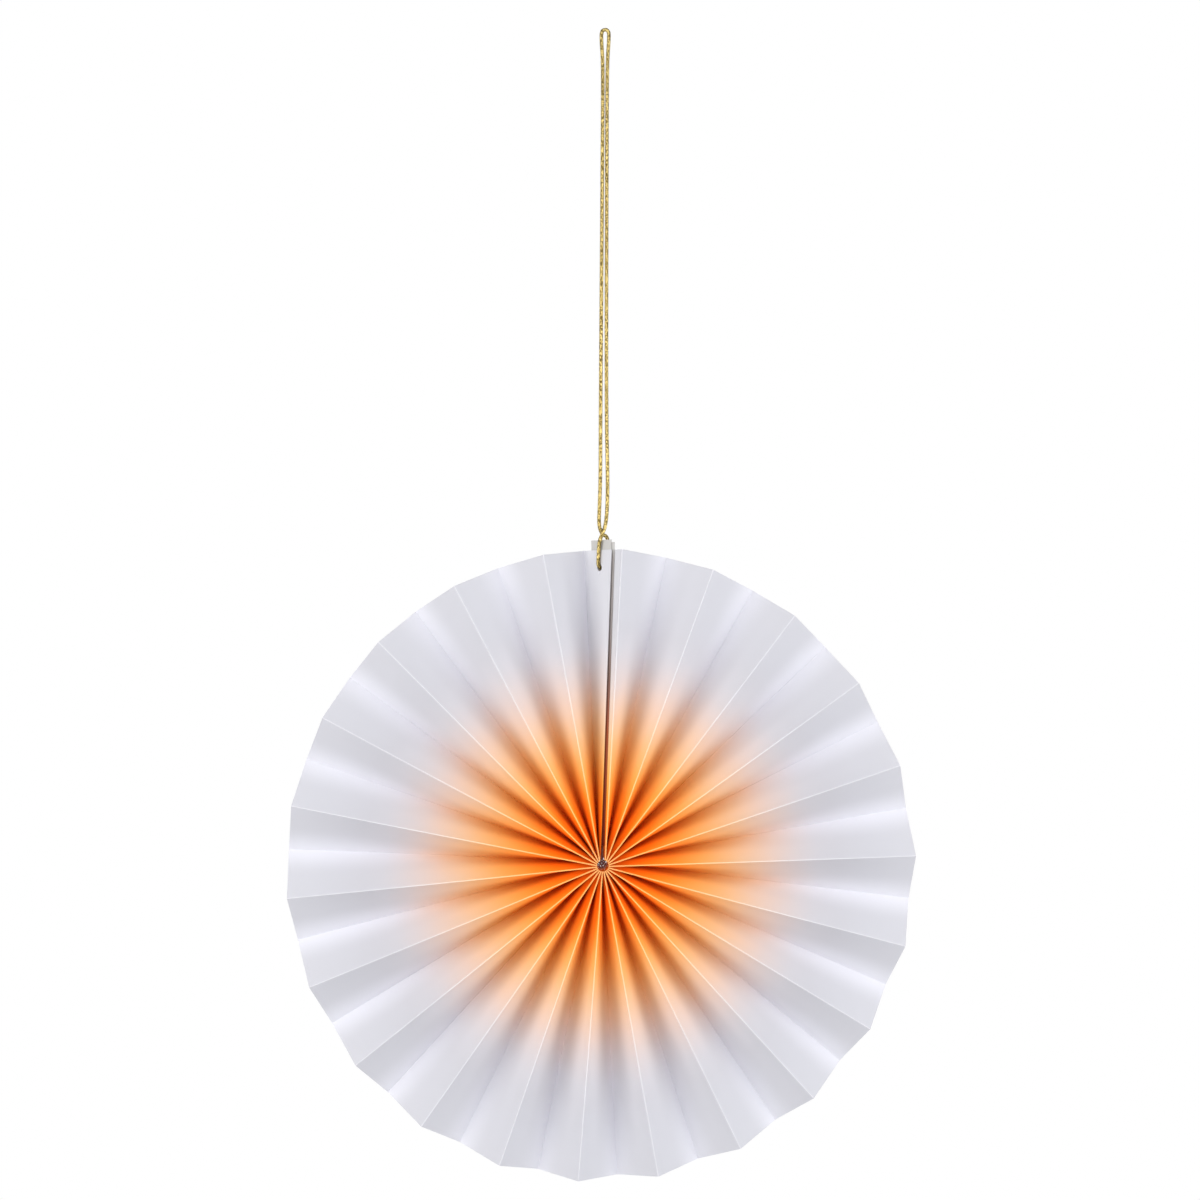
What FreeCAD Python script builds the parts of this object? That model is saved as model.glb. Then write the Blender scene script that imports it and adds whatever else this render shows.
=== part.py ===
import FreeCAD, Part
import math
import os

# Paper fan rosette: one accordion-pleated sheet opened into a full disc, with two stiff
# card strips on its end panels, a thread round the middle and a cord loop to hang it by.
# Millimetres and degrees. +Z is up, the printed front faces -Y, and the origin is where
# the cord loop bears on whatever it hangs from, straight above the hub.

# Pleated sheet
rosette_radius = 125.0
panel_width = 22.0
rim_lean = 54.3
paper_thickness = 0.26
fold_gap = 0.05
top_spread = 0.035
bottom_crowding = 0.11
crowding_width = 1.1

# Seam at the top, where the two end panels meet
seam_lean = 36.7
end_panel_width = 17.4
end_fold_angle = 7.7

# Card strips on the end panels
card_thickness = 0.55
card_width = 12.2
card_inset = 4.3
card_inner_radius = 7.5
card_gap = 0.1
glue_line = 0.1
left_tab_rise = 4.0
right_tab_rise = 3.0

# Hole for the cord, through both end panels and both cards
cord_hole_diameter = 3.0
cord_hole_below_rim = 7.0
cord_hole_shift = -1.0

# Thread that draws the middle together
thread_diameter = 0.6
thread_ring_radius = 5.2
thread_clearance = 0.15

# Hanging cord, a closed loop
cord_diameter = 1.5
hang_drop = 333.85

# How finely the arched folds and the round sections are followed
stations = [0.0, 0.1, 0.22, 0.36, 0.5, 0.64, 0.77, 0.89, 1.0]
thread_sides = 6
cord_sides = 10


def sin_deg(angle):
    return math.sin(math.radians(angle))


def cos_deg(angle):
    return math.cos(math.radians(angle))


def between(start, end, share):
    return start + (end - start) * share


# Layers of the seam, counted along the normal of the stacked panels, front left first
stack_thickness = 2 * (paper_thickness + glue_line + card_thickness) + card_gap
left_paper_front = -stack_thickness / 2
left_paper_back = left_paper_front + paper_thickness
left_card_front = left_paper_back + glue_line
left_card_back = left_card_front + card_thickness
right_card_front = left_card_back + card_gap
right_card_back = right_card_front + card_thickness
right_paper_front = right_card_back + glue_line
right_paper_back = right_paper_front + paper_thickness

# Number of pleats: as many as fill the rim with each panel leaning by rim_lean
panel_chord = panel_width * sin_deg(rim_lean)
seam_chord = panel_width * sin_deg(seam_lean) + stack_thickness * cos_deg(seam_lean)
open_rim = 2 * math.pi * rosette_radius - seam_chord
pleats = round(open_rim / (2 * panel_chord) + 0.5)

# Hub hole: the folds stand side by side round it, each two sheets thick
fold_room = 2 * paper_thickness + fold_gap
hub_radius = (pleats * fold_room + stack_thickness) / (2 * math.pi)
hub_seam_half_angle = math.degrees(math.asin((stack_thickness / 2) / hub_radius))
hub_seam_height = hub_radius * cos_deg(hub_seam_half_angle)


class SeamFrame:
    """The stacked end panels at one station: p runs forward along them, n across them."""

    def __init__(self, share):
        sine = sin_deg(seam_lean) * share
        cosine = math.sqrt(1 - sine * sine)
        self.p = FreeCAD.Vector(sine, -cosine, 0)
        self.n = FreeCAD.Vector(cosine, sine, 0)
        self.middle = FreeCAD.Vector(0, 0, between(hub_seam_height, rosette_radius, share))

    def at(self, along, across, rise=0.0):
        return self.middle + self.p * along + self.n * across + FreeCAD.Vector(0, 0, rise)


def share_at_height(height):
    return (height - hub_seam_height) / (rosette_radius - hub_seam_height)


def ridge_half_width(lean_sine):
    # A folded ridge is two sheets wide where the panels lie together, and sharp when open
    return paper_thickness * (1 - lean_sine) / math.sqrt(1 - lean_sine * lean_sine)


class SeamFold:
    """The last valley (side 1, left of the seam) or the first peak (side -1, right)."""

    def __init__(self, side):
        self.side = side

    def points(self, share):
        seam = SeamFrame(share)
        half = ridge_half_width(seam.p.x)
        wide = FreeCAD.Vector(half, 0, 0)
        deep = FreeCAD.Vector(0, paper_thickness, 0)
        if self.side > 0:
            inner = seam.at(-panel_width / 2, left_paper_front)
            crest = inner + deep
        else:
            crest = seam.at(panel_width / 2, right_paper_front) + wide
            inner = crest + deep
        return crest - wide, inner, crest + wide


class Fold:
    """A regular fold: straight from hub to rim seen from the front, arched in depth."""

    def __init__(self, side, hub_angle, rim_angle, hub_chord, rim_chord):
        self.side = side
        self.hub_chord = hub_chord
        self.rim_chord = rim_chord
        self.start = FreeCAD.Vector(sin_deg(hub_angle), 0, cos_deg(hub_angle)) * hub_radius
        self.end = FreeCAD.Vector(sin_deg(rim_angle), 0, cos_deg(rim_angle)) * rosette_radius
        run = (self.end - self.start).normalize()
        self.clockwise = FreeCAD.Vector(run.z, 0, -run.x)

    def points(self, share):
        # The sheet keeps its panel width at every radius, so the depth follows the chord
        lean_sine = between(self.hub_chord, self.rim_chord, share) / panel_width
        half_depth = panel_width / 2 * math.sqrt(1 - lean_sine * lean_sine)
        wide = self.clockwise * ridge_half_width(lean_sine)
        plan = between(self.start, self.end, share)
        crest = plan + FreeCAD.Vector(0, self.side * half_depth, 0)
        inner = crest - FreeCAD.Vector(0, self.side * paper_thickness, 0)
        return crest - wide, inner, crest + wide


def fold_angles(first, last, pitches, uneven):
    """Angles of the folds from the first peak to the last one, half a pitch apart."""
    weights = []
    for index in range(pitches):
        place = 2 * math.pi * (index + 0.5) / pitches
        crowd = math.exp(-((index - pitches / 2) / crowding_width) ** 2)
        weights.append(1 + uneven * (top_spread * math.cos(place) - bottom_crowding * crowd))
    angles = [first]
    for weight in weights:
        step = (last - first) * weight / sum(weights)
        angles.append(angles[-1] + step / 2)
        angles.append(angles[-1] + step / 2)
    return angles


def make_folds():
    """All folds, clockwise seen from the front, from the first peak to the last valley."""
    rim = SeamFrame(1)
    first_rim = math.degrees(math.asin(rim.at(panel_width / 2, right_paper_front).x / rosette_radius))
    last_valley = math.degrees(math.asin(rim.at(-panel_width / 2, left_paper_front).x / rosette_radius))
    last_rim = 360 + last_valley - end_fold_angle
    hub_step = (360 - 2 * hub_seam_half_angle) / (pleats - 0.5)
    first_hub = hub_seam_half_angle
    last_hub = 360 - hub_seam_half_angle - hub_step / 2
    rim_step = (last_rim - first_rim) / (pleats - 1)
    hub_chord = 2 * hub_radius * sin_deg(hub_step / 4)
    rim_chord = 2 * rosette_radius * sin_deg(rim_step / 4)
    hub_angles = fold_angles(first_hub, last_hub, pleats - 1, 0)
    rim_angles = fold_angles(first_rim, last_rim, pleats - 1, 1)
    folds = [SeamFold(-1)]
    for index in range(1, len(rim_angles)):
        side = 1 if index % 2 else -1
        folds.append(Fold(side, hub_angles[index], rim_angles[index], hub_chord, rim_chord))
    folds.append(SeamFold(1))
    return folds


def flat_face(*corners):
    return Part.Face(Part.makePolygon(corners + corners[:1]))


def steps(first, second):
    """The four corners of each step between two lines that run from hub to rim."""
    return zip(first, second, second[1:], first[1:])


def bent_strip(peak_line, valley_line):
    """A panel's face. Paper bends but doesn't stretch, so its twist is a row of flat triangles."""
    faces = []
    for peak, valley, next_valley, next_peak in steps(peak_line, valley_line):
        faces.append(flat_face(peak, valley, next_peak))
        faces.append(flat_face(valley, next_valley, next_peak))
    return faces


def flat_strip(first, second):
    """The crest of a fold: its two lines are parallel at every step."""
    return [flat_face(*corners) for corners in steps(first, second)]


def twisted_strip(first, second):
    """A face of the stacked panels and cards, which twist together without touching."""
    return Part.makeRuledSurface(Part.makePolygon(first), Part.makePolygon(second)).Faces


def end_cap(corners):
    """Closes a panel's hub or rim end; its four corners are nearly in one plane."""
    if len(corners) == 3:
        return [flat_face(*corners)]
    first, second, third, fourth = corners
    return [flat_face(first, second, third), flat_face(first, third, fourth)]


def sewn_solid(faces):
    shell = Part.makeCompound(faces)
    shell.sewShape()
    solid = Part.Solid(shell.Shells[0])
    if solid.Volume < 0:
        solid.reverse()
    return solid


def seam_line(along, across):
    """A line from hub to rim that keeps its place in the stacked end panels."""
    return [SeamFrame(share).at(along, across) for share in stations]


class Edge:
    """Where a panel starts or ends: its front and back lines, and which kind of fold it is."""

    def __init__(self, front, back, kind):
        self.front = front
        self.back = back
        self.kind = kind


def panel_faces(start, stop):
    """Front, back and both ends of the panel between two of its edges."""
    if "free" in (start.kind, stop.kind):
        faces = twisted_strip(start.front, stop.front) + twisted_strip(start.back, stop.back)
    elif start.kind == "peak":
        faces = bent_strip(start.front, stop.front) + bent_strip(start.back, stop.back)
    else:
        faces = bent_strip(stop.front, start.front) + bent_strip(stop.back, start.back)
    for end in (0, -1):
        faces += end_cap([start.front[end], stop.front[end], stop.back[end], start.back[end]])
    return faces


def fold_faces(before, inner, after):
    """The crest of a fold and its two ends."""
    faces = flat_strip(before, after)
    for end in (0, -1):
        faces += end_cap([before[end], inner[end], after[end]])
    return faces


def make_pleated_paper():
    """One sheet, clockwise from the front: free edge, end panel, all folds, end panel, free edge."""
    right_free = panel_width / 2 - end_panel_width
    left_free = -right_free
    start = Edge(seam_line(right_free, right_paper_front), seam_line(right_free, right_paper_back),
                 "free")
    faces = twisted_strip(start.front, start.back)
    for fold in make_folds():
        rows = [fold.points(share) for share in stations]
        before, inner, after = [list(line) for line in zip(*rows)]
        faces += fold_faces(before, inner, after)
        if fold.side < 0:
            faces += panel_faces(start, Edge(before, inner, "peak"))
            start = Edge(after, inner, "peak")
        else:
            faces += panel_faces(start, Edge(inner, before, "valley"))
            start = Edge(inner, after, "valley")
    stop = Edge(seam_line(left_free, left_paper_front), seam_line(left_free, left_paper_back),
                "free")
    faces += panel_faces(start, stop)
    faces += twisted_strip(stop.front, stop.back)
    return sewn_solid(faces)


def card_stations(tip):
    """The sheet's stations between the card's inner end and its tip, so that both bend alike."""
    inner = share_at_height(card_inner_radius)
    within = [share for share in stations if inner < share < tip]
    return [inner] + within + [tip]


def make_card(front_layer, back_layer, front_edge, tab_rise):
    """A stiff strip glued along an end panel, with a tab that stands above the rim."""
    shares = card_stations(share_at_height(rosette_radius + tab_rise))
    back_edge = front_edge - card_width
    lines = []
    for along, across in ((front_edge, front_layer), (front_edge, back_layer),
                          (back_edge, back_layer), (back_edge, front_layer)):
        lines.append([card_point(share, along, across) for share in shares])
    faces = []
    for index in range(4):
        faces += twisted_strip(lines[index - 1], lines[index])
    for end in (0, -1):
        faces += twisted_strip([lines[0][end], lines[1][end]], [lines[3][end], lines[2][end]])
    return sewn_solid(faces)


def card_point(share, along, across):
    """A point of the stack on the straight step between two stations of the sheet."""
    after = next((index for index, station in enumerate(stations) if station >= share),
                 len(stations) - 1)
    after = max(after, 1)
    low = stations[after - 1]
    high = stations[after]
    start = SeamFrame(low).at(along, across)
    end = SeamFrame(high).at(along, across)
    return between(start, end, (share - low) / (high - low))


def make_cord_hole():
    seam = SeamFrame(share_at_height(rosette_radius - cord_hole_below_rim))
    reach = 2 * stack_thickness
    start = seam.at(cord_hole_shift, -reach)
    return Part.makeCylinder(cord_hole_diameter / 2, 2 * reach, start, seam.n)


def make_ring(tube_radius):
    """A ring round the hub at half depth, with a few flat sides."""
    corners = []
    for side in range(thread_sides):
        angle = 360 * side / thread_sides
        corners.append(FreeCAD.Vector(thread_ring_radius + tube_radius * cos_deg(angle),
                                      tube_radius * sin_deg(angle), 0))
    ring = flat_face(*corners)
    return ring.revolve(FreeCAD.Vector(0, 0, 0), FreeCAD.Vector(0, 1, 0), 360)


# Route of the cord, measured from the hub centre: up behind the tabs' hole, through it,
# up the front of the left tab, once round the other strand, and over the top of the loop
cord_route = [
    (1.22, 1.69, 123.6),
    (0.94, 1.93, 118.15),
    (-2.07, -0.30, 118.15),
    (-1.82, -0.75, 123.5),
    (-1.62, -1.15, 128.2),
    (-0.50, -1.30, 131.1),
    (0.95, -0.70, 134.6),
    (1.65, -0.10, 142.0),
    (1.75, 0.05, 155.0),
    (1.05, 0.10, 182.0),
    (0.84, 0.00, 298.0),
    (0.90, 0.05, 322.0),
    (1.50, 0.00, 330.0),
    (1.50, 0.00, 334.6),
    (-1.50, 0.00, 334.6),
    (-1.55, 0.00, 330.0),
    (-0.90, -0.05, 322.0),
    (-0.86, 0.00, 298.0),
    (-1.25, -0.05, 182.0),
    (-1.15, 0.00, 155.0),
    (-1.50, 0.15, 142.0),
    (-1.75, 0.65, 134.8),
    (-0.35, 0.90, 131.2),
    (1.60, 1.35, 130.6),
    (2.12, 1.71, 127.6),
    (1.32, 1.76, 124.0),
]


def cord_path(points):
    """Straight runs joined by tangent arcs."""
    edges = []
    last = points[0]
    radii = []
    for before, corner, after in zip(points, points[1:], points[2:]):
        into = (corner - before).normalize()
        away = (after - corner).normalize()
        setback = 0.45 * min((corner - before).Length, (after - corner).Length)
        half_turn = into.getAngle(away) / 2
        radii.append(setback / math.tan(half_turn))
        arc_start = corner - into * setback
        arc_end = corner + away * setback
        bisector = (away - into).normalize()
        centre = corner + bisector * (setback / math.sin(half_turn))
        arc_middle = centre - bisector * radii[-1]
        edges.append(Part.LineSegment(last, arc_start).toShape())
        edges.append(Part.Arc(arc_start, arc_middle, arc_end).toShape())
        last = arc_end
    edges.append(Part.LineSegment(last, points[-1]).toShape())
    print("cord arc radii:", [round(radius, 2) for radius in radii])
    return Part.Wire(edges)


def make_cord():
    points = [FreeCAD.Vector(*point) for point in cord_route]
    path = cord_path(points)
    # The flat-sided section has the round cord's area
    corner_angle = 2 * math.pi / cord_sides
    corner_radius = cord_diameter / 2 * math.sqrt(corner_angle / math.sin(corner_angle))
    circle = Part.makeCircle(corner_radius, points[0], points[1] - points[0])
    section = Part.makePolygon(circle.discretize(Number=cord_sides + 1))
    tube = path.makePipeShell([section], True, False)
    if tube.Volume < 0:
        tube.reverse()
    expected = math.pi * cord_diameter ** 2 / 4 * path.Length
    print("cord length", round(path.Length, 1), "volume over section x length",
          round(tube.Volume / expected, 4))
    return tube


def main():
    hole = make_cord_hole()
    thread_hole = make_ring(thread_diameter / 2 + thread_clearance)
    left_edge = -panel_width / 2 + card_inset + card_width
    right_edge = panel_width / 2 - card_inset
    parts = {
        "pleated_paper": make_pleated_paper().cut(thread_hole).cut(hole),
        "left_end_card": make_card(left_card_front, left_card_back, left_edge,
                                   left_tab_rise).cut(hole),
        "right_end_card": make_card(right_card_front, right_card_back, right_edge,
                                    right_tab_rise).cut(hole),
        "hub_thread": make_ring(thread_diameter / 2),
        "hanging_cord": make_cord(),
    }
    for name, shape in parts.items():
        solid = shape.Solids[0]
        print(name, "solids", len(shape.Solids), "valid", solid.isValid(),
              "volume", round(solid.Volume, 2))
        solid.translate(FreeCAD.Vector(0, 0, -hang_drop))
        solid.exportStep("parts/" + name + ".step")


os.makedirs("parts", exist_ok=True)
main()
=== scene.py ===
import math

import bmesh
import bpy
from mathutils import Matrix, Vector


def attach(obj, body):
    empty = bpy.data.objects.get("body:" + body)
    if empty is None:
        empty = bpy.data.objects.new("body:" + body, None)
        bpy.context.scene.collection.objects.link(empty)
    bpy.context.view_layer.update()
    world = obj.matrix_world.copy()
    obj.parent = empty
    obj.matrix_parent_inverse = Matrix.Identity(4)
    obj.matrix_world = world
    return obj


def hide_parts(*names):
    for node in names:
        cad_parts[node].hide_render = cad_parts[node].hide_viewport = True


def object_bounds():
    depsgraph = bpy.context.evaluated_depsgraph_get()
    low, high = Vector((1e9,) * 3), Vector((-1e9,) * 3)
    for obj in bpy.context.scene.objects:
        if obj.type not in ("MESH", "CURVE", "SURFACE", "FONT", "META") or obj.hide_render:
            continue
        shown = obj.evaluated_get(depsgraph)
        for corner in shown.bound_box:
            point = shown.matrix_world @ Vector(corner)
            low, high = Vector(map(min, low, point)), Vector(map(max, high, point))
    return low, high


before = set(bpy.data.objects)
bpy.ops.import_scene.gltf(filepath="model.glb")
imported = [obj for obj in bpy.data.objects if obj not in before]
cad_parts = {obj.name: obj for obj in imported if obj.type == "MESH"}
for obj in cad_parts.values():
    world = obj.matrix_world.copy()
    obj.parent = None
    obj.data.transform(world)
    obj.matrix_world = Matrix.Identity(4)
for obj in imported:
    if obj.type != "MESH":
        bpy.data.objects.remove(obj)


def save_size(name, sizes={}):
    """Keeps the shown object's box, as loaded and as finished."""
    low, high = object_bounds()
    sizes[name] = [list(low), list(high)]


save_size("before")

MM = 0.001
HUB = Vector((0, 0, -333.85))

# The part's own sizes, in mm and degrees
rosette_radius = 125.0
panel_width = 22.0
pleats = 22
seam_lean = 36.7
end_panel_width = 17.4
end_fold_angle = 7.7
paper_thickness = 0.26
fold_gap = 0.05
card_thickness = 0.55
card_gap = 0.1
glue_line = 0.1
top_spread = 0.035
bottom_crowding = 0.11
crowding_width = 1.1
cord_hole_diameter = 3.0
cord_hole_below_rim = 7.0
cord_hole_shift = -1.0
cord_diameter = 1.5
thread_diameter = 0.6
thread_ring_radius = 5.2

# Finer things that only this model has, in mm
panel_bow = 0.1
panel_bow_swing = 0.35
panel_bow_turn = 2.4
line_outer = 0.22
line_inner = 0.02
dye_unevenness = 6
grain_depth = 0.3
braid_pitch = 3.4
thread_entry = 7.3
knot_radius = 1.7
knot_lobes = 3.5

# How finely the sheet, cord and thread are followed here
station_count = 60
columns_per_panel = 8
cord_ring_spacing = 0.16
cord_sides = 16
thread_steps = 96

stack_thickness = 2 * (paper_thickness + glue_line + card_thickness) + card_gap
left_front = -stack_thickness / 2
right_back = stack_thickness / 2
hub_radius = (pleats * (2 * paper_thickness + fold_gap) + stack_thickness) / (2 * math.pi)
hub_seam_half_angle = math.asin(stack_thickness / 2 / hub_radius)
hub_seam_height = hub_radius * math.cos(hub_seam_half_angle)
lean_sine_at_rim = math.sin(math.radians(seam_lean))
shares = [index / (station_count - 1) for index in range(station_count)]


def between(start, end, share):
    return start + (end - start) * share


# Sheet

def seam_at(share, along, across):
    """A point in the seam's stack, from hub 0 to rim 1.

    Along runs forwards and across runs to the right, both in mm from the stack's middle.
    """
    sine = lean_sine_at_rim * share
    cosine = math.sqrt(1 - sine * sine)
    middle = Vector((0, 0, between(hub_seam_height, rosette_radius, share)))
    return middle + Vector((sine, -cosine, 0)) * along + Vector((cosine, sine, 0)) * across


def ridge_half_width(lean_sine):
    """Half the flat width of a fold's crest, where two thicknesses of paper meet."""
    return paper_thickness * (1 - lean_sine) / math.sqrt(1 - lean_sine * lean_sine)


class SeamFold:
    """The last valley (side 1) or the first peak (side -1), on the stacked end panels."""

    def __init__(self, side):
        self.side = side

    def points(self, share):
        wide = Vector((ridge_half_width(lean_sine_at_rim * share), 0, 0))
        deep = Vector((0, paper_thickness, 0))
        if self.side > 0:
            inner = seam_at(share, -panel_width / 2, left_front)
            crest = inner + deep
        else:
            crest = seam_at(share, panel_width / 2, right_back - paper_thickness) + wide
            inner = crest + deep
        return crest - wide, inner, crest + wide


class Fold:
    """A fold that is straight from the front and arched in depth."""

    def __init__(self, side, hub_angle, rim_angle, hub_chord, rim_chord):
        self.side = side
        self.hub_sine = hub_chord / panel_width
        self.rim_sine = rim_chord / panel_width
        self.start = Vector((math.sin(hub_angle), 0, math.cos(hub_angle))) * hub_radius
        self.end = Vector((math.sin(rim_angle), 0, math.cos(rim_angle))) * rosette_radius
        run = (self.end - self.start).normalized()
        self.clockwise = Vector((run.z, 0, -run.x))

    def points(self, share):
        lean_sine = between(self.hub_sine, self.rim_sine, share)
        half_depth = panel_width / 2 * math.sqrt(1 - lean_sine * lean_sine)
        wide = self.clockwise * ridge_half_width(lean_sine)
        crest = between(self.start, self.end, share) + Vector((0, self.side * half_depth, 0))
        inner = crest - Vector((0, self.side * paper_thickness, 0))
        return crest - wide, inner, crest + wide


def fold_angles(first, last, uneven):
    """Angles of the folds round the hub, evenly spaced (uneven 0) or as in the opened fan (1)."""
    pitches = pleats - 1
    weights = []
    for index in range(pitches):
        place = 2 * math.pi * (index + 0.5) / pitches
        crowd = math.exp(-((index - pitches / 2) / crowding_width) ** 2)
        weights.append(1 + uneven * (top_spread * math.cos(place) - bottom_crowding * crowd))
    angles = [first]
    for weight in weights:
        step = (last - first) * weight / sum(weights)
        angles += [angles[-1] + step / 2, angles[-1] + step]
    return angles


def make_folds():
    first_peak = seam_at(1, panel_width / 2, right_back - paper_thickness)
    last_valley = seam_at(1, -panel_width / 2, left_front)
    first_rim = math.asin(first_peak.x / rosette_radius)
    last_rim = (2 * math.pi + math.asin(last_valley.x / rosette_radius)
                - math.radians(end_fold_angle))
    hub_step = (2 * math.pi - 2 * hub_seam_half_angle) / (pleats - 0.5)
    rim_step = (last_rim - first_rim) / (pleats - 1)
    hub_chord = 2 * hub_radius * math.sin(hub_step / 4)
    rim_chord = 2 * rosette_radius * math.sin(rim_step / 4)
    hub_angles = fold_angles(hub_seam_half_angle,
                             2 * math.pi - hub_seam_half_angle - hub_step / 2, 0)
    rim_angles = fold_angles(first_rim, last_rim, 1)
    folds = [SeamFold(-1)]
    for index in range(1, len(rim_angles)):
        side = 1 if index % 2 else -1
        folds.append(Fold(side, hub_angles[index], rim_angles[index], hub_chord, rim_chord))
    return folds + [SeamFold(1)]


class Side:
    """One side of a panel: its front and back lines, and its place from valley 0 to peak 1."""

    def __init__(self, lines, place):
        self.lines = lines
        self.place = place


class SheetMesh:
    """Lines from hub to rim and the faces between them.

    Each point knows its place from valley 0 to peak 1, and whether a card backs it.
    """

    def __init__(self):
        self.vertices = []
        self.place = []
        self.backed = []
        self.faces = []

    def line(self, points, place, backed=0.0):
        start = len(self.vertices)
        self.vertices += [(HUB + point) * MM for point in points]
        self.place += [place] * len(points)
        self.backed += [backed] * len(points)
        return start

    def strip(self, first, second):
        for index in range(station_count - 1):
            self.faces.append((first + index, second + index, second + index + 1,
                               first + index + 1))

    def ends(self, *lines):
        for index in (0, station_count - 1):
            self.faces.append(tuple(line + index for line in lines))

    def panel(self, start, stop, bow, backed=0.0):
        """The two faces of a panel, bowed a little between its folds, and its hub and rim ends."""
        before = start
        for column in range(1, columns_per_panel + 1):
            share = column / columns_per_panel
            after = stop
            if column < columns_per_panel:
                place = between(start.place, stop.place, share)
                lift = bow * math.sin(math.pi * share)
                after = Side([self.line(self.bowed(a, b, share, lift), place, backed)
                              for a, b in zip(start.lines, stop.lines)], stop.place)
            for first, second in zip(before.lines, after.lines):
                self.strip(first, second)
            self.ends(before.lines[0], after.lines[0], after.lines[1], before.lines[1])
            before = after

    def bowed(self, first, second, share, lift):
        """A line between two others, lifted off their straight panel by up to lift."""
        points = []
        for index in range(station_count):
            start = self.vertices[first + index] / MM - HUB
            end = self.vertices[second + index] / MM - HUB
            across = (end - start).normalized()
            radial = Vector((start.x + end.x, 0, start.z + end.z)).normalized()
            rise = math.sin(math.pi * shares[index]) * lift
            points.append(start.lerp(end, share) + across.cross(radial) * rise)
        return points


def make_sheet():
    sheet = SheetMesh()
    cut_edge = panel_width / 2 - end_panel_width
    left_place = end_panel_width / panel_width
    right_place = 1 - left_place

    def seam_line(along, across, place):
        return sheet.line([seam_at(share, along, across) for share in shares], place, 1.0)

    start = Side([seam_line(cut_edge, right_back - paper_thickness, right_place),
                  seam_line(cut_edge, right_back, right_place)], right_place)
    sheet.strip(*start.lines)
    bow = 0
    for number, fold in enumerate(make_folds()):
        place = 0 if fold.side > 0 else 1
        rows = [fold.points(share) for share in shares]
        before, inner, after = [sheet.line(points, place) for points in zip(*rows)]
        sheet.strip(before, after)
        sheet.ends(before, inner, after)
        if fold.side < 0:
            sheet.panel(start, Side([before, inner], place), bow, float(number == 0))
            start = Side([after, inner], place)
        else:
            sheet.panel(start, Side([inner, before], place), bow)
            start = Side([inner, after], place)
        bow = panel_bow_swing * math.sin(number * panel_bow_turn) + panel_bow
    stop = Side([seam_line(-cut_edge, left_front, left_place),
                 seam_line(-cut_edge, left_front + paper_thickness, left_place)], left_place)
    sheet.panel(start, stop, 0, 1.0)
    sheet.strip(*stop.lines)
    return sheet


def new_object(name, vertices, faces):
    mesh = bpy.data.meshes.new(name)
    mesh.from_pydata([tuple(vertex) for vertex in vertices], [], faces)
    piece = bpy.data.objects.new(name, mesh)
    bpy.context.scene.collection.objects.link(piece)
    return piece


def put_normals_outside(mesh):
    form = bmesh.new()
    form.from_mesh(mesh)
    bmesh.ops.recalc_face_normals(form, faces=form.faces)
    form.to_mesh(mesh)
    form.free()


def cut_cord_hole(piece):
    height = rosette_radius - cord_hole_below_rim
    share = (height - hub_seam_height) / (rosette_radius - hub_seam_height)
    centre = seam_at(share, cord_hole_shift, 0)
    normal = seam_at(share, cord_hole_shift, 1) - centre
    form = bmesh.new()
    bmesh.ops.create_cone(form, cap_ends=True, segments=48, radius1=cord_hole_diameter / 2 * MM,
                          radius2=cord_hole_diameter / 2 * MM, depth=4 * stack_thickness * MM,
                          matrix=Matrix.Translation((HUB + centre) * MM)
                          @ normal.to_track_quat("Z", "Y").to_matrix().to_4x4())
    punch = new_object("punch", [], [])
    form.to_mesh(punch.data)
    form.free()
    cut = piece.modifiers.new("cord_hole", "BOOLEAN")
    cut.operation = "DIFFERENCE"
    cut.solver = "EXACT"
    cut.object = punch
    bpy.context.view_layer.update()
    drilled = bpy.data.meshes.new_from_object(piece.evaluated_get(
        bpy.context.evaluated_depsgraph_get()))
    piece.modifiers.remove(cut)
    piece.data = drilled
    bpy.data.objects.remove(punch)


# Cord

# The route from the back of the tabs, through the hole, up, over the top of the loop and down
cord_route = [
    (1.22, 1.69, 123.6),
    (0.94, 1.93, 117.85),
    (-2.07, -0.30, 117.85),
    (-1.82, -0.75, 123.5),
    (-1.62, -1.15, 128.2),
    (-0.50, -1.30, 131.1),
    (0.95, -0.70, 134.6),
    (1.65, -0.10, 142.0),
    (1.75, 0.05, 155.0),
    (1.05, 0.10, 182.0),
    (0.84, 0.00, 298.0),
    (0.90, 0.05, 322.0),
    (1.50, 0.00, 330.0),
    (1.50, 0.00, 334.6),
    (-1.50, 0.00, 334.6),
    (-1.55, 0.00, 330.0),
    (-0.90, -0.05, 322.0),
    (-0.86, 0.00, 298.0),
    (-1.25, -0.05, 182.0),
    (-1.15, 0.00, 155.0),
    (-1.50, 0.15, 142.0),
    (-1.75, 0.65, 134.8),
    (-0.35, 0.90, 131.2),
    (1.60, 1.35, 130.6),
    (2.12, 1.71, 127.6),
    (1.32, 1.76, 124.0),
]


def cord_centreline():
    """Evenly spaced points on the route's smooth spline."""
    curve = bpy.data.curves.new("route", "CURVE")
    curve.dimensions = "3D"
    spline = curve.splines.new("NURBS")
    spline.points.add(len(cord_route) - 1)
    for point, place in zip(spline.points, cord_route):
        point.co = (*((HUB + Vector(place)) * MM), 1)
    spline.order_u = 3
    spline.use_endpoint_u = True
    spline.resolution_u = 24
    holder = bpy.data.objects.new("route", curve)
    points = [vertex.co.copy() for vertex in bpy.data.meshes.new_from_object(holder).vertices]
    bpy.data.objects.remove(holder)
    even = [points[0]]
    left = cord_ring_spacing * MM
    for start, end in zip(points, points[1:]):
        run = (end - start).length
        done = 0
        while run - done >= left:
            done += left
            even.append(start.lerp(end, done / run))
            left = cord_ring_spacing * MM
        left -= run - done
    return even


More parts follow.
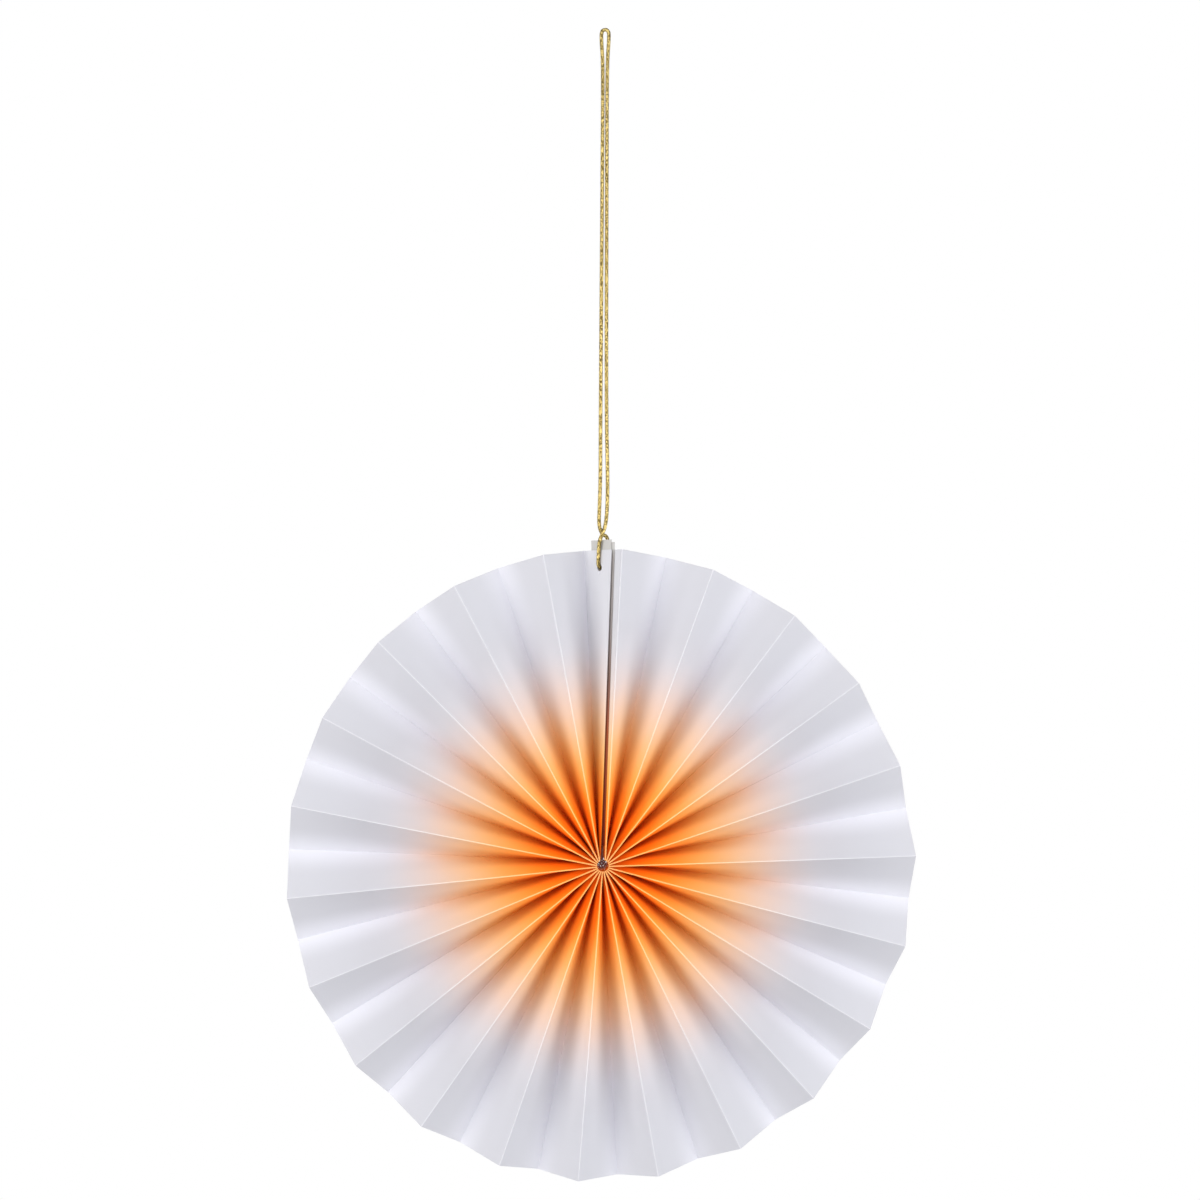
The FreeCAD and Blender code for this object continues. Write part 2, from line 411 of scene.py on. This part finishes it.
def braid_radius(angle, along):
    """Strands cross both ways round the cord, which gives its surface rows of small bumps."""
    turn = 2 * math.pi * along / braid_pitch
    one = abs(math.sin(2 * angle + turn))
    other = abs(math.sin(2 * angle - turn))
    return cord_diameter / 2 * (0.86 + 0.17 * max(one, other))


def make_cord():
    centres = cord_centreline()
    vertices = []
    faces = []
    side = Vector((0, 1, 0))
    for number, centre in enumerate(centres):
        after = centres[min(number + 1, len(centres) - 1)]
        before = centres[max(number - 1, 0)]
        run = (after - before).normalized()
        side = (side - run * side.dot(run)).normalized()
        other = run.cross(side)
        for corner in range(cord_sides):
            angle = 2 * math.pi * corner / cord_sides
            radius = braid_radius(angle, number * cord_ring_spacing) * MM
            vertices.append(centre + (side * math.cos(angle) + other * math.sin(angle)) * radius)
    for ring in range(len(centres) - 1):
        for corner in range(cord_sides):
            here = ring * cord_sides
            beside = (corner + 1) % cord_sides
            faces.append((here + corner, here + beside, here + cord_sides + beside,
                          here + cord_sides + corner))
    last = (len(centres) - 1) * cord_sides
    faces.append(tuple(range(cord_sides)))
    faces.append(tuple(last + corner for corner in reversed(range(cord_sides))))
    return new_object("braided_cord", vertices, faces), centres


# Thread

def make_tube(name, lines, thickness):
    """Round tubes along closed or open lines."""
    curve = bpy.data.curves.new(name, "CURVE")
    curve.dimensions = "3D"
    curve.bevel_depth = thickness / 2 * MM
    curve.bevel_resolution = 2
    for points, closed in lines:
        spline = curve.splines.new("POLY")
        spline.points.add(len(points) - 1)
        for point, place in zip(spline.points, points):
            point.co = (*((HUB + Vector(place)) * MM), 1)
        spline.use_cyclic_u = closed
    holder = bpy.data.objects.new(name, curve)
    mesh = bpy.data.meshes.new_from_object(holder)
    bpy.data.objects.remove(holder)
    piece = bpy.data.objects.new(name, mesh)
    bpy.context.scene.collection.objects.link(piece)
    return piece


def make_thread():
    """The ring through the pleats, and its ends led in through the seam to a knot in the hub."""
    turns = [2 * math.pi * step / thread_steps for step in range(thread_steps)]
    ring = [(thread_ring_radius * math.sin(turn), 0, thread_ring_radius * math.cos(turn))
            for turn in turns]
    knot = []
    for turn in turns + [2 * math.pi + turn for turn in turns]:
        reach = knot_radius * (0.62 + 0.38 * math.cos(knot_lobes * turn))
        knot.append((reach * math.sin(turn), 0.9 * math.sin(knot_lobes * turn),
                     reach * math.cos(turn)))
    middle = [(0.4 * knot_radius * math.sin(turn), 0.5 * math.cos(2 * turn),
               0.4 * knot_radius * math.cos(turn)) for turn in turns]
    ends = [[(side * 0.28, 0.3, thread_entry), (side * 0.28, -0.1, thread_ring_radius),
             (side * 0.3, -0.3, 3.6), (side * 0.26, -0.5, 1.2)] for side in (-1, 1)]
    return make_tube("knotted_thread", [(ring, True), (knot, True), (middle, True)]
                     + [(end, False) for end in ends], thread_diameter)


# Materials

class Graph:
    """Short ways to add nodes to a material.

    A value is a number, a colour or another node's output.
    """

    def __init__(self, material):
        self.nodes = material.node_tree.nodes
        self.links = material.node_tree.links
        self.place = self.nodes.new("ShaderNodeTexCoord").outputs["Object"]

    def fill(self, socket, value):
        if isinstance(value, bpy.types.NodeSocket):
            self.links.new(value, socket)
        elif socket.type == "RGBA":
            socket.default_value = (*value, 1)
        else:
            socket.default_value = value

    def operate(self, kind, operation, *values):
        node = self.nodes.new(kind)
        node.operation = operation
        for socket, value in zip(node.inputs, values):
            self.fill(socket, value)
        return node

    def product(self, first, *others):
        for other in others:
            first = self.operate("ShaderNodeMath", "MULTIPLY", first, other).outputs[0]
        return first

    def ranged(self, source, low, high, at_low, at_high, interpolation="LINEAR"):
        """Runs from at_low to at_high as the source goes from low to high."""
        node = self.nodes.new("ShaderNodeMapRange")
        node.interpolation_type = interpolation
        node.inputs["From Min"].default_value = low
        node.inputs["From Max"].default_value = high
        node.inputs["To Min"].default_value = at_low
        node.inputs["To Max"].default_value = at_high
        self.links.new(source, node.inputs["Value"])
        return node.outputs["Result"]

    def mixed(self, share, first, second):
        node = self.nodes.new("ShaderNodeMix")
        node.data_type = "RGBA"
        self.fill(node.inputs["Factor"], share)
        self.fill(node.inputs["A"], first)
        self.fill(node.inputs["B"], second)
        return node.outputs["Result"]

    def ramp(self, source, stops, interpolation="LINEAR"):
        """A colour that runs through the stops as the source goes from 0 to 1."""
        node = self.nodes.new("ShaderNodeValToRGB")
        node.color_ramp.interpolation = interpolation
        elements = node.color_ramp.elements
        for index, (position, color) in enumerate(stops):
            stop = elements[index] if index < 2 else elements.new(position)
            stop.position = position
            stop.color = (*color, 1)
        self.links.new(source, node.inputs[0])
        return node.outputs["Color"]

    def noise(self, scale):
        node = self.nodes.new("ShaderNodeTexNoise")
        node.inputs["Scale"].default_value = scale
        self.links.new(self.place, node.inputs["Vector"])
        return node

    def attribute(self, name):
        node = self.nodes.new("ShaderNodeAttribute")
        node.attribute_name = name
        return node.outputs["Fac"]

    def reach(self):
        """Distance from the hub as a share of the rosette's radius, a little uneven."""
        from_hub = self.operate("ShaderNodeVectorMath", "SUBTRACT", self.place, HUB * MM)
        flat = self.operate("ShaderNodeVectorMath", "MULTIPLY", from_hub.outputs[0], (1, 0, 1))
        radius = self.operate("ShaderNodeVectorMath", "LENGTH", flat.outputs[0])
        uneven = self.operate("ShaderNodeMath", "MULTIPLY_ADD", self.noise(60).outputs["Fac"],
                              dye_unevenness * MM, radius.outputs["Value"])
        return self.operate("ShaderNodeMath", "DIVIDE", uneven.outputs[0],
                            rosette_radius * MM).outputs[0]

    def add_grain(self, shader, scale, strength):
        """Fine unevenness of the surface."""
        noise = self.noise(scale)
        noise.inputs["Detail"].default_value = 4
        bump = self.nodes.new("ShaderNodeBump")
        bump.inputs["Strength"].default_value = strength
        bump.inputs["Distance"].default_value = grain_depth * MM
        self.links.new(noise.outputs["Fac"], bump.inputs["Height"])
        self.links.new(bump.outputs["Normal"], shader.inputs["Normal"])


def new_material(name, roughness, metallic=0.0):
    material = bpy.data.materials.new(name)
    material.use_nodes = True
    shader = material.node_tree.nodes["Principled BSDF"]
    shader.inputs["Roughness"].default_value = roughness
    shader.inputs["Metallic"].default_value = metallic
    return material, shader, Graph(material)


def braid_material():
    """Metal yarns with painted glints and shade: the colour flashes bright and dark in small
    flecks along the braid.
    """
    material, shader, graph = new_material("gold_braid", 0.35, 0.9)
    graph.add_grain(shader, 3000, 0.5)
    painted_glints = graph.ramp(graph.noise(1900).outputs["Fac"],
                        [(0.44, (0.11, 0.075, 0.015)), (0.58, (0.74, 0.57, 0.21))])
    graph.fill(shader.inputs["Base Color"], painted_glints)
    return material


def card_material():
    """Grey card with painted shade, as it lies in shade between the end panels: dark and reddish
    towards the hub, lighter grey up to the tabs.
    """
    material, shader, graph = new_material("card", 0.9)
    graph.add_grain(shader, 2500, 0.25)
    split = graph.nodes.new("ShaderNodeSeparateXYZ")
    graph.links.new(graph.place, split.inputs[0])
    height = graph.ranged(split.outputs["Z"], HUB.z * MM, (HUB.z + rosette_radius) * MM, 0, 1)
    # Painted shade: dark and reddish near the hub, lighter grey up to the tabs
    painted_card_shade = graph.ramp(height, [
        (0.05, (0.16, 0.02, 0.008)),
        (0.42, (0.36, 0.09, 0.035)),
        (0.60, (0.24, 0.15, 0.120)),
        (0.75, (0.36, 0.32, 0.310)),
        (0.97, (0.42, 0.39, 0.370)),
        (1.00, (0.55, 0.54, 0.520)),
    ])
    graph.fill(shader.inputs["Base Color"], painted_card_shade)
    return material


def thread_material():
    material, shader, graph = new_material("thread", 0.8)
    graph.fill(shader.inputs["Base Color"], (0.32, 0.26, 0.26))
    graph.add_grain(shader, 6000, 0.3)
    return material


def paper_material():
    """Paper dyed orange at the middle and fading to white, with pale lines along its peaks, and
    painted shade, highlights and glow.
    """
    material, shader, graph = new_material("dyed_paper", 0.8)
    shader.inputs["Specular IOR Level"].default_value = 0.25
    graph.add_grain(shader, 1600, 0.12)
    reach = graph.reach()
    peak_place = graph.attribute("peak_place")
    card_backed = graph.attribute("card_backed")
    dye = graph.ramp(reach, [
        (0.00, (1.00, 0.20, 0.004)),
        (0.14, (1.00, 0.26, 0.005)),
        (0.24, (1.00, 0.39, 0.018)),
        (0.34, (1.00, 0.59, 0.160)),
        (0.44, (1.00, 0.72, 0.430)),
        (0.54, (0.97, 0.79, 0.690)),
        (0.63, (0.90, 0.83, 0.830)),
        (0.72, (0.85, 0.85, 0.895)),
    ], "B_SPLINE")

    # Painted shade: the paper's colour is made a little lighter in the valleys than towards the
    # peaks, and darker at the hub and over the cards
    painted_shade = graph.product(graph.ranged(peak_place, 0, 0.55, 1, 0.86, "SMOOTHSTEP"),
                         graph.ranged(reach, 0.03, 0.17, 0.78, 1),
                         graph.ranged(card_backed, 0, 1, 1, 0.88))
    shaded_dye = graph.operate("ShaderNodeVectorMath", "SCALE", dye)
    graph.fill(shaded_dye.inputs["Scale"], painted_shade)

    # The pale lines along the peaks are partly print cracked at the crease and partly a painted
    # highlight on the rounded fold: amber on the dye and white on the white paper
    line_color = graph.mixed(graph.ranged(reach, 0.15, 0.6, 0, 1),
                             (1, 0.66, 0.26), (0.95, 0.94, 0.97))
    line = graph.ranged(peak_place, 1 - line_outer / panel_width, 1 - line_inner / panel_width,
                        0, 0.5)
    color = graph.mixed(line, shaded_dye.outputs["Vector"], line_color)
    graph.fill(shader.inputs["Base Color"], color)

    # Painted light: the dye is given a little glow of its own towards the peaks, less at the hub
    painted_glow = graph.product(graph.ranged(reach, 0, 0.78, 0.36, 0),
                          graph.ranged(reach, 0.03, 0.15, 0.25, 1),
                          graph.ranged(peak_place, 0.2, 0.62, 0, 1, "SMOOTHSTEP"))
    graph.fill(shader.inputs["Emission Strength"], painted_glow)
    graph.fill(shader.inputs["Emission Color"], dye)

    # Light comes through the paper from behind, apart from where a card backs it
    clear = graph.nodes.new("ShaderNodeBsdfTranslucent")
    graph.fill(clear.inputs["Color"], color)
    blend = graph.nodes.new("ShaderNodeMixShader")
    clearness = graph.product(graph.ranged(card_backed, 0, 1, 0.3, 0),
                              graph.ranged(reach, 0.05, 0.4, 0.35, 1))
    graph.links.new(clearness, blend.inputs[0])
    graph.links.new(shader.outputs[0], blend.inputs[1])
    graph.links.new(clear.outputs[0], blend.inputs[2])
    graph.links.new(blend.outputs[0], graph.nodes["Material Output"].inputs["Surface"])
    return material


def dress(piece, material):
    piece.data.materials.clear()
    piece.data.materials.append(material)


def add_attribute(piece, name, values):
    attribute = piece.data.attributes.new(name, "FLOAT", "POINT")
    attribute.data.foreach_set("value", values)


sheet = make_sheet()
paper = new_object("dyed_pleats", sheet.vertices, sheet.faces)
add_attribute(paper, "peak_place", sheet.place)
add_attribute(paper, "card_backed", sheet.backed)
put_normals_outside(paper.data)
cut_cord_hole(paper)
paper.data.shade_smooth()
paper.data.set_sharp_from_angle(angle=math.radians(25))
dress(paper, paper_material())
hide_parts("pleated_paper")
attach(paper, "root")

cord, cord_line = make_cord()
cord.data.shade_smooth()
dress(cord, braid_material())
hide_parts("hanging_cord")
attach(cord, "root")

card = card_material()
for node in ("left_end_card", "right_end_card"):
    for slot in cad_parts[node].material_slots:
        slot.material = card

knotted = make_thread()
knotted.data.shade_smooth()
dress(knotted, thread_material())
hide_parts("hub_thread")
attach(knotted, "root")

# Camera: a little to the left, looking slightly upwards and turned, as the photo was taken
distance = 890.0
focal_pixels = 2.507 * distance
picture_size = 1200.0
yaw = math.radians(2.1)
pitch = math.radians(-1.4)
roll = math.radians(0.24)
hub_in_view = Vector((0.7, 0, -104.95))
turned = (Matrix.Rotation(pitch, 3, "X") @ Matrix.Rotation(yaw, 3, "Z")
          @ Matrix.Rotation(roll, 3, "Y"))
camera_data = bpy.data.cameras.new("camera")
camera_data.sensor_width = 36
camera_data.lens = focal_pixels / picture_size * camera_data.sensor_width
camera = bpy.data.objects.new("camera", camera_data)
bpy.context.scene.collection.objects.link(camera)
camera_place = turned.transposed() @ (Vector((0, -distance, 0)) - hub_in_view)
facing = turned.transposed() @ Matrix.Rotation(math.radians(90), 3, "X")
camera.matrix_world = Matrix.Translation((HUB + camera_place) * MM) @ facing.to_4x4()
bpy.context.scene.camera = camera


# Light: large soft panels at both sides, in front and behind, and a pale room

def add_light(name, place, width, height, power, color):
    data = bpy.data.lights.new(name, "AREA")
    data.shape = "RECTANGLE"
    data.size = width
    data.size_y = height
    data.energy = power
    data.color = color
    light = bpy.data.objects.new(name, data)
    bpy.context.scene.collection.objects.link(light)
    light.location = place
    aim = Vector(place) - HUB * MM
    light.rotation_mode = "QUATERNION"
    light.rotation_quaternion = aim.to_track_quat("Z", "Y")
    light.visible_camera = False


add_light("left_panel", (-1.15, -0.75, -0.25), 0.8, 1.0, 10, (1, 0.99, 0.98))
add_light("right_panel", (1.15, -0.75, -0.25), 0.8, 1.0, 10, (0.98, 0.99, 1))
add_light("front_fill", (0, -1.4, 0.1), 1.1, 1.1, 8, (1, 1, 1))
add_light("back_panel", (0, 1.2, -0.3), 1.6, 1.6, 15, (1, 1, 1))

world = bpy.data.worlds.new("room")
world.use_nodes = True
bpy.context.scene.world = world
tree = world.node_tree
room = tree.nodes["Background"]
room.inputs["Color"].default_value = (0.99, 0.99, 1, 1)
room.inputs["Strength"].default_value = 0.5
white = tree.nodes.new("ShaderNodeBackground")
white.inputs["Color"].default_value = (1, 1, 1, 1)
seen = tree.nodes.new("ShaderNodeLightPath")
choice = tree.nodes.new("ShaderNodeMixShader")
tree.links.new(seen.outputs["Is Camera Ray"], choice.inputs[0])
tree.links.new(room.outputs[0], choice.inputs[1])
tree.links.new(white.outputs[0], choice.inputs[2])
tree.links.new(choice.outputs[0], tree.nodes["World Output"].inputs["Surface"])
bpy.context.scene.view_settings.view_transform = "Standard"

save_size("finished")
